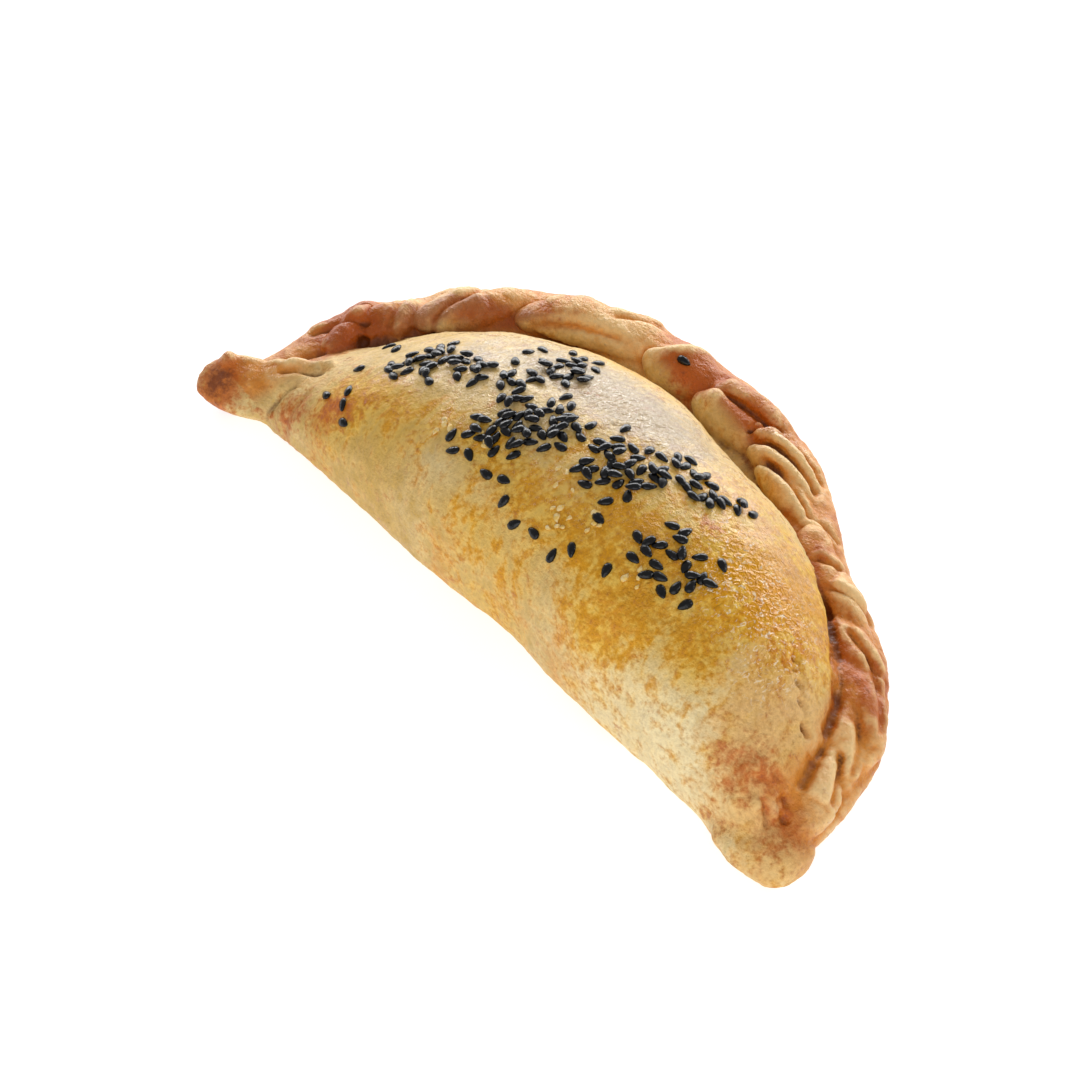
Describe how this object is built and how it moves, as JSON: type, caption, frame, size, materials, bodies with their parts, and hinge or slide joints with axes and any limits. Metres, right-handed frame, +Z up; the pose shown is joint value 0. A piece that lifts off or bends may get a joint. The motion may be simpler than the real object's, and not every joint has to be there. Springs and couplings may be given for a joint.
{
  "type": "baked turnover",
  "caption": "Half-moon baked pastry pocket with a domed top, a rim crimped into a rope of overlapping dough tongues, pinched corners and black sesame seeds on its glazed crust.",
  "frame": {"origin": "middle of the footprint, on the flat base", "axes": "+X along the fold towards the fuller corner, +Y from the fold to the crimped rim, +Z up out of the base"},
  "size_m": [0.1602, 0.0826, 0.0347],
  "materials": {
    "crust": "golden baked crust with an egg glaze"
  },
  "bodies": {
    "root": {"empanada": "crust"}
  },
  "joints": []
}
